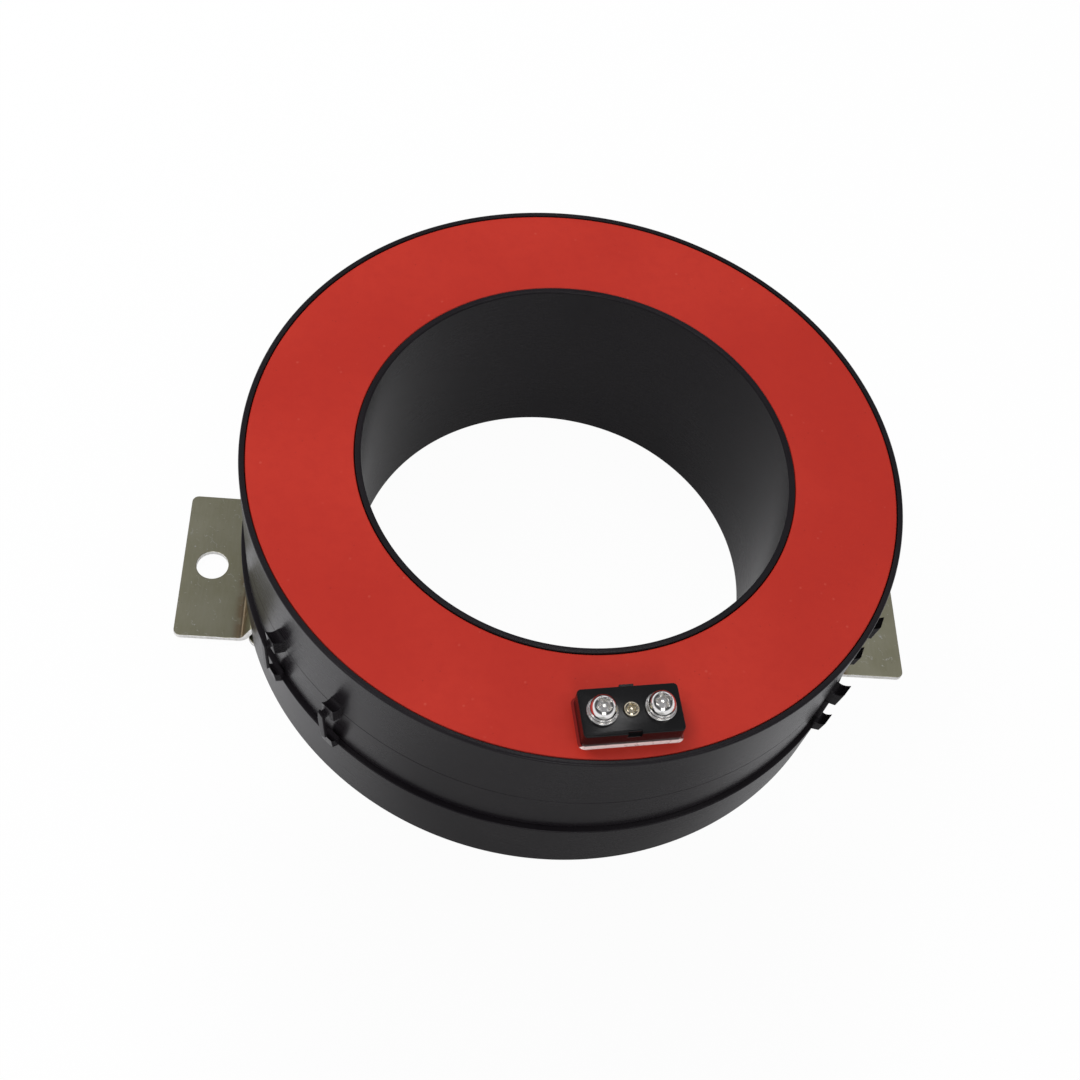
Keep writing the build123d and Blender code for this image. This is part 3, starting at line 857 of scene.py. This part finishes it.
def edge_bead():
    """The resin drawn up round the block: a concave quarter round carried round the block's plan."""
    arc = np.linspace(0, pi / 2, 6)
    reaches, rises = BEAD_REACH * (1 - np.sin(arc)), BEAD_RISE * (1 - np.cos(arc))
    loops = [block_loop(rise, inset=-reach) for reach, rise in zip(reaches, rises)]
    loops += [block_loop(BEAD_RISE, inset=BEAD_ROOT), block_loop(-BEAD_SINK, inset=BEAD_ROOT),
              block_loop(-BEAD_SINK, inset=-BEAD_REACH)]
    faces = grid_faces(len(loops), len(loops[0]), True, True)[:, ::-1].tolist()
    return on_block((np.concatenate(loops), faces))


make_piece("block_moulding", block_shape(), TERMINAL, ["terminal_block"],
           merge=0.005, sharp=38)
make_piece("resin_bead", edge_bead(), EDGE)


def screw_shape(radius, height, recess, shank, length, base):
    """A pan head and its shank. The head's height is h (1 - (r / R)^p)^(1/p), less a cross-shaped
    recess that tapers inwards: its depth falls off across each arm and at the arm's end. The rings
    of points lie closer together towards the rim.
    """
    even = np.linspace(0.02, 0.88, 36)
    close = np.sin(np.linspace(radians(62), pi / 2, 16))[1:]
    rows = np.concatenate([even, close])[:, None]
    turn = np.linspace(0, 2 * pi, 96, endpoint=False)
    x, y = radius * rows * np.cos(turn), radius * rows * np.sin(turn)
    dome = base + height * np.clip(1 - rows ** HEAD_POWER, 0, 1) ** (1 / HEAD_POWER)
    arm = recess["arm"] * radius
    half = recess["half"] * radius
    depth = recess["depth"] * height

    def slot(a, b):
        across = np.clip((half - np.abs(b)) / (0.45 * half), 0, 1)
        along = np.clip((arm - np.abs(a)) / (0.30 * arm), 0, 1)
        return across * along

    head = columns(x, y, dome - depth * np.maximum(slot(x, y), slot(y, x)))
    centre = columns(0, 0, base + height - depth) + 0 * head[:1]
    low = np.array([(radius, base), (shank, base), (shank, base - length), (0.01, base - length)])
    grid = np.concatenate([centre, head, around(low[:, :1], turn, low[:, 1:])])
    return grid.reshape(-1, 3), grid_faces(len(grid), len(turn), False, True).tolist()


def split_ring_shape(inner, outer, low, high, split):
    """A spring washer: a rectangular section carried round most of a turn, with its ends closed."""
    turn = np.radians(np.linspace(split / 2, 360 - split / 2, 73))[:, None]
    section = rounded_path([(inner, low, 0.15), (outer, low, 0.2), (outer, high, 0.2),
                            (inner, high, 0.15)], steps=3, guard=0.1)
    points = around(section[:, 0], turn, section[:, 1]).reshape(-1, 3)
    count = len(section)
    faces = grid_faces(len(turn), count, False, True).tolist()
    faces += [list(range(count)), list(range(len(points) - count, len(points)))[::-1]]
    return points, faces


block_top = RESIN_TOP + BLOCK_HEIGHT
washer_path = rounded_path([(SPRING_INNER, block_top, 0.1), (WASHER_RADIUS, block_top, 0.2),
                            (WASHER_RADIUS, block_top + WASHER_THICKNESS, 0.3),
                            (SPRING_INNER, block_top + WASHER_THICKNESS, 0.1)], steps=4, guard=0.1)
spring_low = block_top + WASHER_THICKNESS
head_base = spring_low + SPRING_THICKNESS
for name, y in {"left": -TERMINAL_PITCH / 2, "right": TERMINAL_PITCH / 2}.items():
    flat = placed(ring(washer_path, 96), (0, y, 0))
    spring = split_ring_shape(SPRING_INNER, SPRING_RADIUS, spring_low, head_base, SPRING_SPLIT)
    spring = placed(spring, (0, y, 0), SPRING_TURN)
    screw = screw_shape(HEAD_RADIUS, HEAD_HEIGHT, TERMINAL_RECESS, SHANK_RADIUS, SCREW_LENGTH, head_base)
    screw = placed(screw, (0, y, 0), SCREW_TURNS[name])
    make_piece(f"flat_washer_{name}", on_block(flat), NICKEL, [f"terminal_washer_{name}"])
    make_piece(f"split_washer_{name}", on_block(spring), NICKEL, [f"spring_washer_{name}"])
    make_piece(f"pan_screw_{name}", on_block(screw), NICKEL, [f"terminal_screw_{name}"],
               merge=0.003, sharp=40)
centre = screw_shape(CENTRE_HEAD_RADIUS, CENTRE_HEAD_HEIGHT, CENTRE_RECESS, CENTRE_SHANK_RADIUS,
                     CENTRE_LENGTH, block_top)
make_piece("cover_screw", on_block(placed(centre, turn=CENTRE_TURN)), CENTRE_NICKEL,
           ["block_centre_screw"], merge=0.003, sharp=40)


# Floor, light and camera

def backdrop(name, tone, painted_shade_tone, to_camera, to_glossy):
    """Pale matte ground. It is partly plain white to the camera and in reflections, so soft shadows stay.

    Close in front of the ring the ground carries a painted shade: a darker colour and less white in
    reflections, which keeps the ring's front wall dark.
    """
    f = Finish(name, roughness=0.9, specular_ior_level=0.1)
    x, y, _ = f.axes()
    # painted shade: the ground's colour darker close in front of the ring, also taken out of the white seen
    # in reflections
    painted_shade = y.step(-0.08, -0.12) * x.math("ABSOLUTE").step(0.16, 0.05)
    f.put("Base Color", f.mix(painted_shade, tone, painted_shade_tone))
    camera_ray = f.node("LightPath", output="Is Camera Ray")
    glossy_ray = f.node("LightPath", output="Is Glossy Ray")
    white_share = camera_ray * to_camera + glossy_ray * (1.0 - painted_shade) * to_glossy
    white = f.node("Emission", None, {"Color": (1.0, 1.0, 1.0), "Strength": 1.0})
    both = f.node("MixShader", None, {0: white_share, 1: Wire(f, f.shader.outputs[0]), 2: white})
    f.feed(f.output.inputs[0], both)
    return f.material


floor_corners = [(x * FLOOR_REACH, y * FLOOR_REACH, -FLOOR_GAP)
                 for x, y in ((-1, -1), (1, -1), (1, 1), (-1, 1))]
floor_mesh = bpy.data.meshes.new("floor")
floor_mesh.from_pydata(floor_corners, [], [(0, 1, 2, 3)])
# the second tone is the painted shade on the ground in front of the ring
floor_mesh.materials.append(backdrop("ground", (0.84, 0.84, 0.86), (0.40, 0.40, 0.40), 0.965, 0.18))
floor = bpy.data.objects.new("floor", floor_mesh)
bpy.context.scene.collection.objects.link(floor)


def light_room(world):
    """An even sky. The camera and reflections see a room in its place: white up to a little above
    the horizon, then a dark band, then a soft ceiling, by the height of the direction.
    """
    world.use_nodes = True
    g = Graph(world.node_tree)
    height = g.node("SeparateXYZ", None, {0: g.node("TexCoord", output="Generated")}, "Z")
    shade = g.node("ValToRGB", None, {0: height})
    ramp = shade.socket.node.color_ramp
    stops = [(0.12, 1.0), (0.32, 0.05), (0.60, 0.05), (0.76, 0.29)]
    while len(ramp.elements) < len(stops):
        ramp.elements.new(0.5)
    for element, (position, grey) in zip(ramp.elements, stops):
        element.position = position
        element.color = (grey, grey, 1.05 * grey, 1)
    sky = g.node("Background", None, {"Color": (1.0, 1.0, 1.0), "Strength": 0.55})
    room = g.node("Background", None, {"Color": shade, "Strength": 1.0})
    room_share = g.node("LightPath", output="Is Camera Ray") + g.node("LightPath", output="Is Glossy Ray")
    output = g.tree.nodes.new("ShaderNodeOutputWorld")
    g.feed(output.inputs[0], g.node("MixShader", None, {0: room_share, 1: sky, 2: room}))


world = bpy.data.worlds.new("room")
bpy.context.scene.world = world
light_room(world)


def softbox(name, place, aim, size, power, mirrored):
    """A square soft lamp that faces a point, seen in reflections or not."""
    data = bpy.data.lights.new(name, "AREA")
    data.size = size
    data.energy = power
    lamp = bpy.data.objects.new(name, data)
    lamp.visible_glossy = mirrored
    lamp.location = place
    lamp.rotation_euler = (Vector(aim) - Vector(place)).to_track_quat("-Z", "Y").to_euler()
    bpy.context.scene.collection.objects.link(lamp)


softbox("key", (-0.70, 0.70, 1.05), (0, 0, 0.05), 0.9, 9.9, False)
softbox("left_window", (-0.60, -0.30, 0.90), (0, -0.1, 0.09), 0.26, 0.7, True)
softbox("right_window", (0.45, -0.30, 0.85), (0, -0.1, 0.09), 0.18, 0.4, True)
softbox("front_window", (0.05, -1.20, 0.75), (0, -0.1, 0.05), 0.5, 2.8, True)
softbox("ceiling_window", (0.145, 0.30, 1.05), (0, -0.1, 0.09), 0.12, 0.3, True)

yaw, pitch, roll = radians(YAW), radians(PITCH), radians(ROLL)
forward = np.array([sin(yaw) * cos(pitch), cos(yaw) * cos(pitch), -sin(pitch)])
level_right = np.array([cos(yaw), -sin(yaw), 0.0])
level_up = np.cross(level_right, forward)
right = cos(roll) * level_right + sin(roll) * level_up
up = -sin(roll) * level_right + cos(roll) * level_up
camera_data = bpy.data.cameras.new("camera")
camera_data.sensor_width = SENSOR
camera_data.lens = FOCAL * SENSOR / PICTURE
camera_data.clip_end = 50
camera = bpy.data.objects.new("camera", camera_data)
facing = Matrix([right, up, -forward]).transposed().to_4x4()
camera.matrix_world = Matrix.Translation(Vector(EYE) * MM) @ facing
bpy.context.scene.collection.objects.link(camera)
bpy.context.scene.camera = camera
bpy.context.scene.view_settings.view_transform = "Standard"
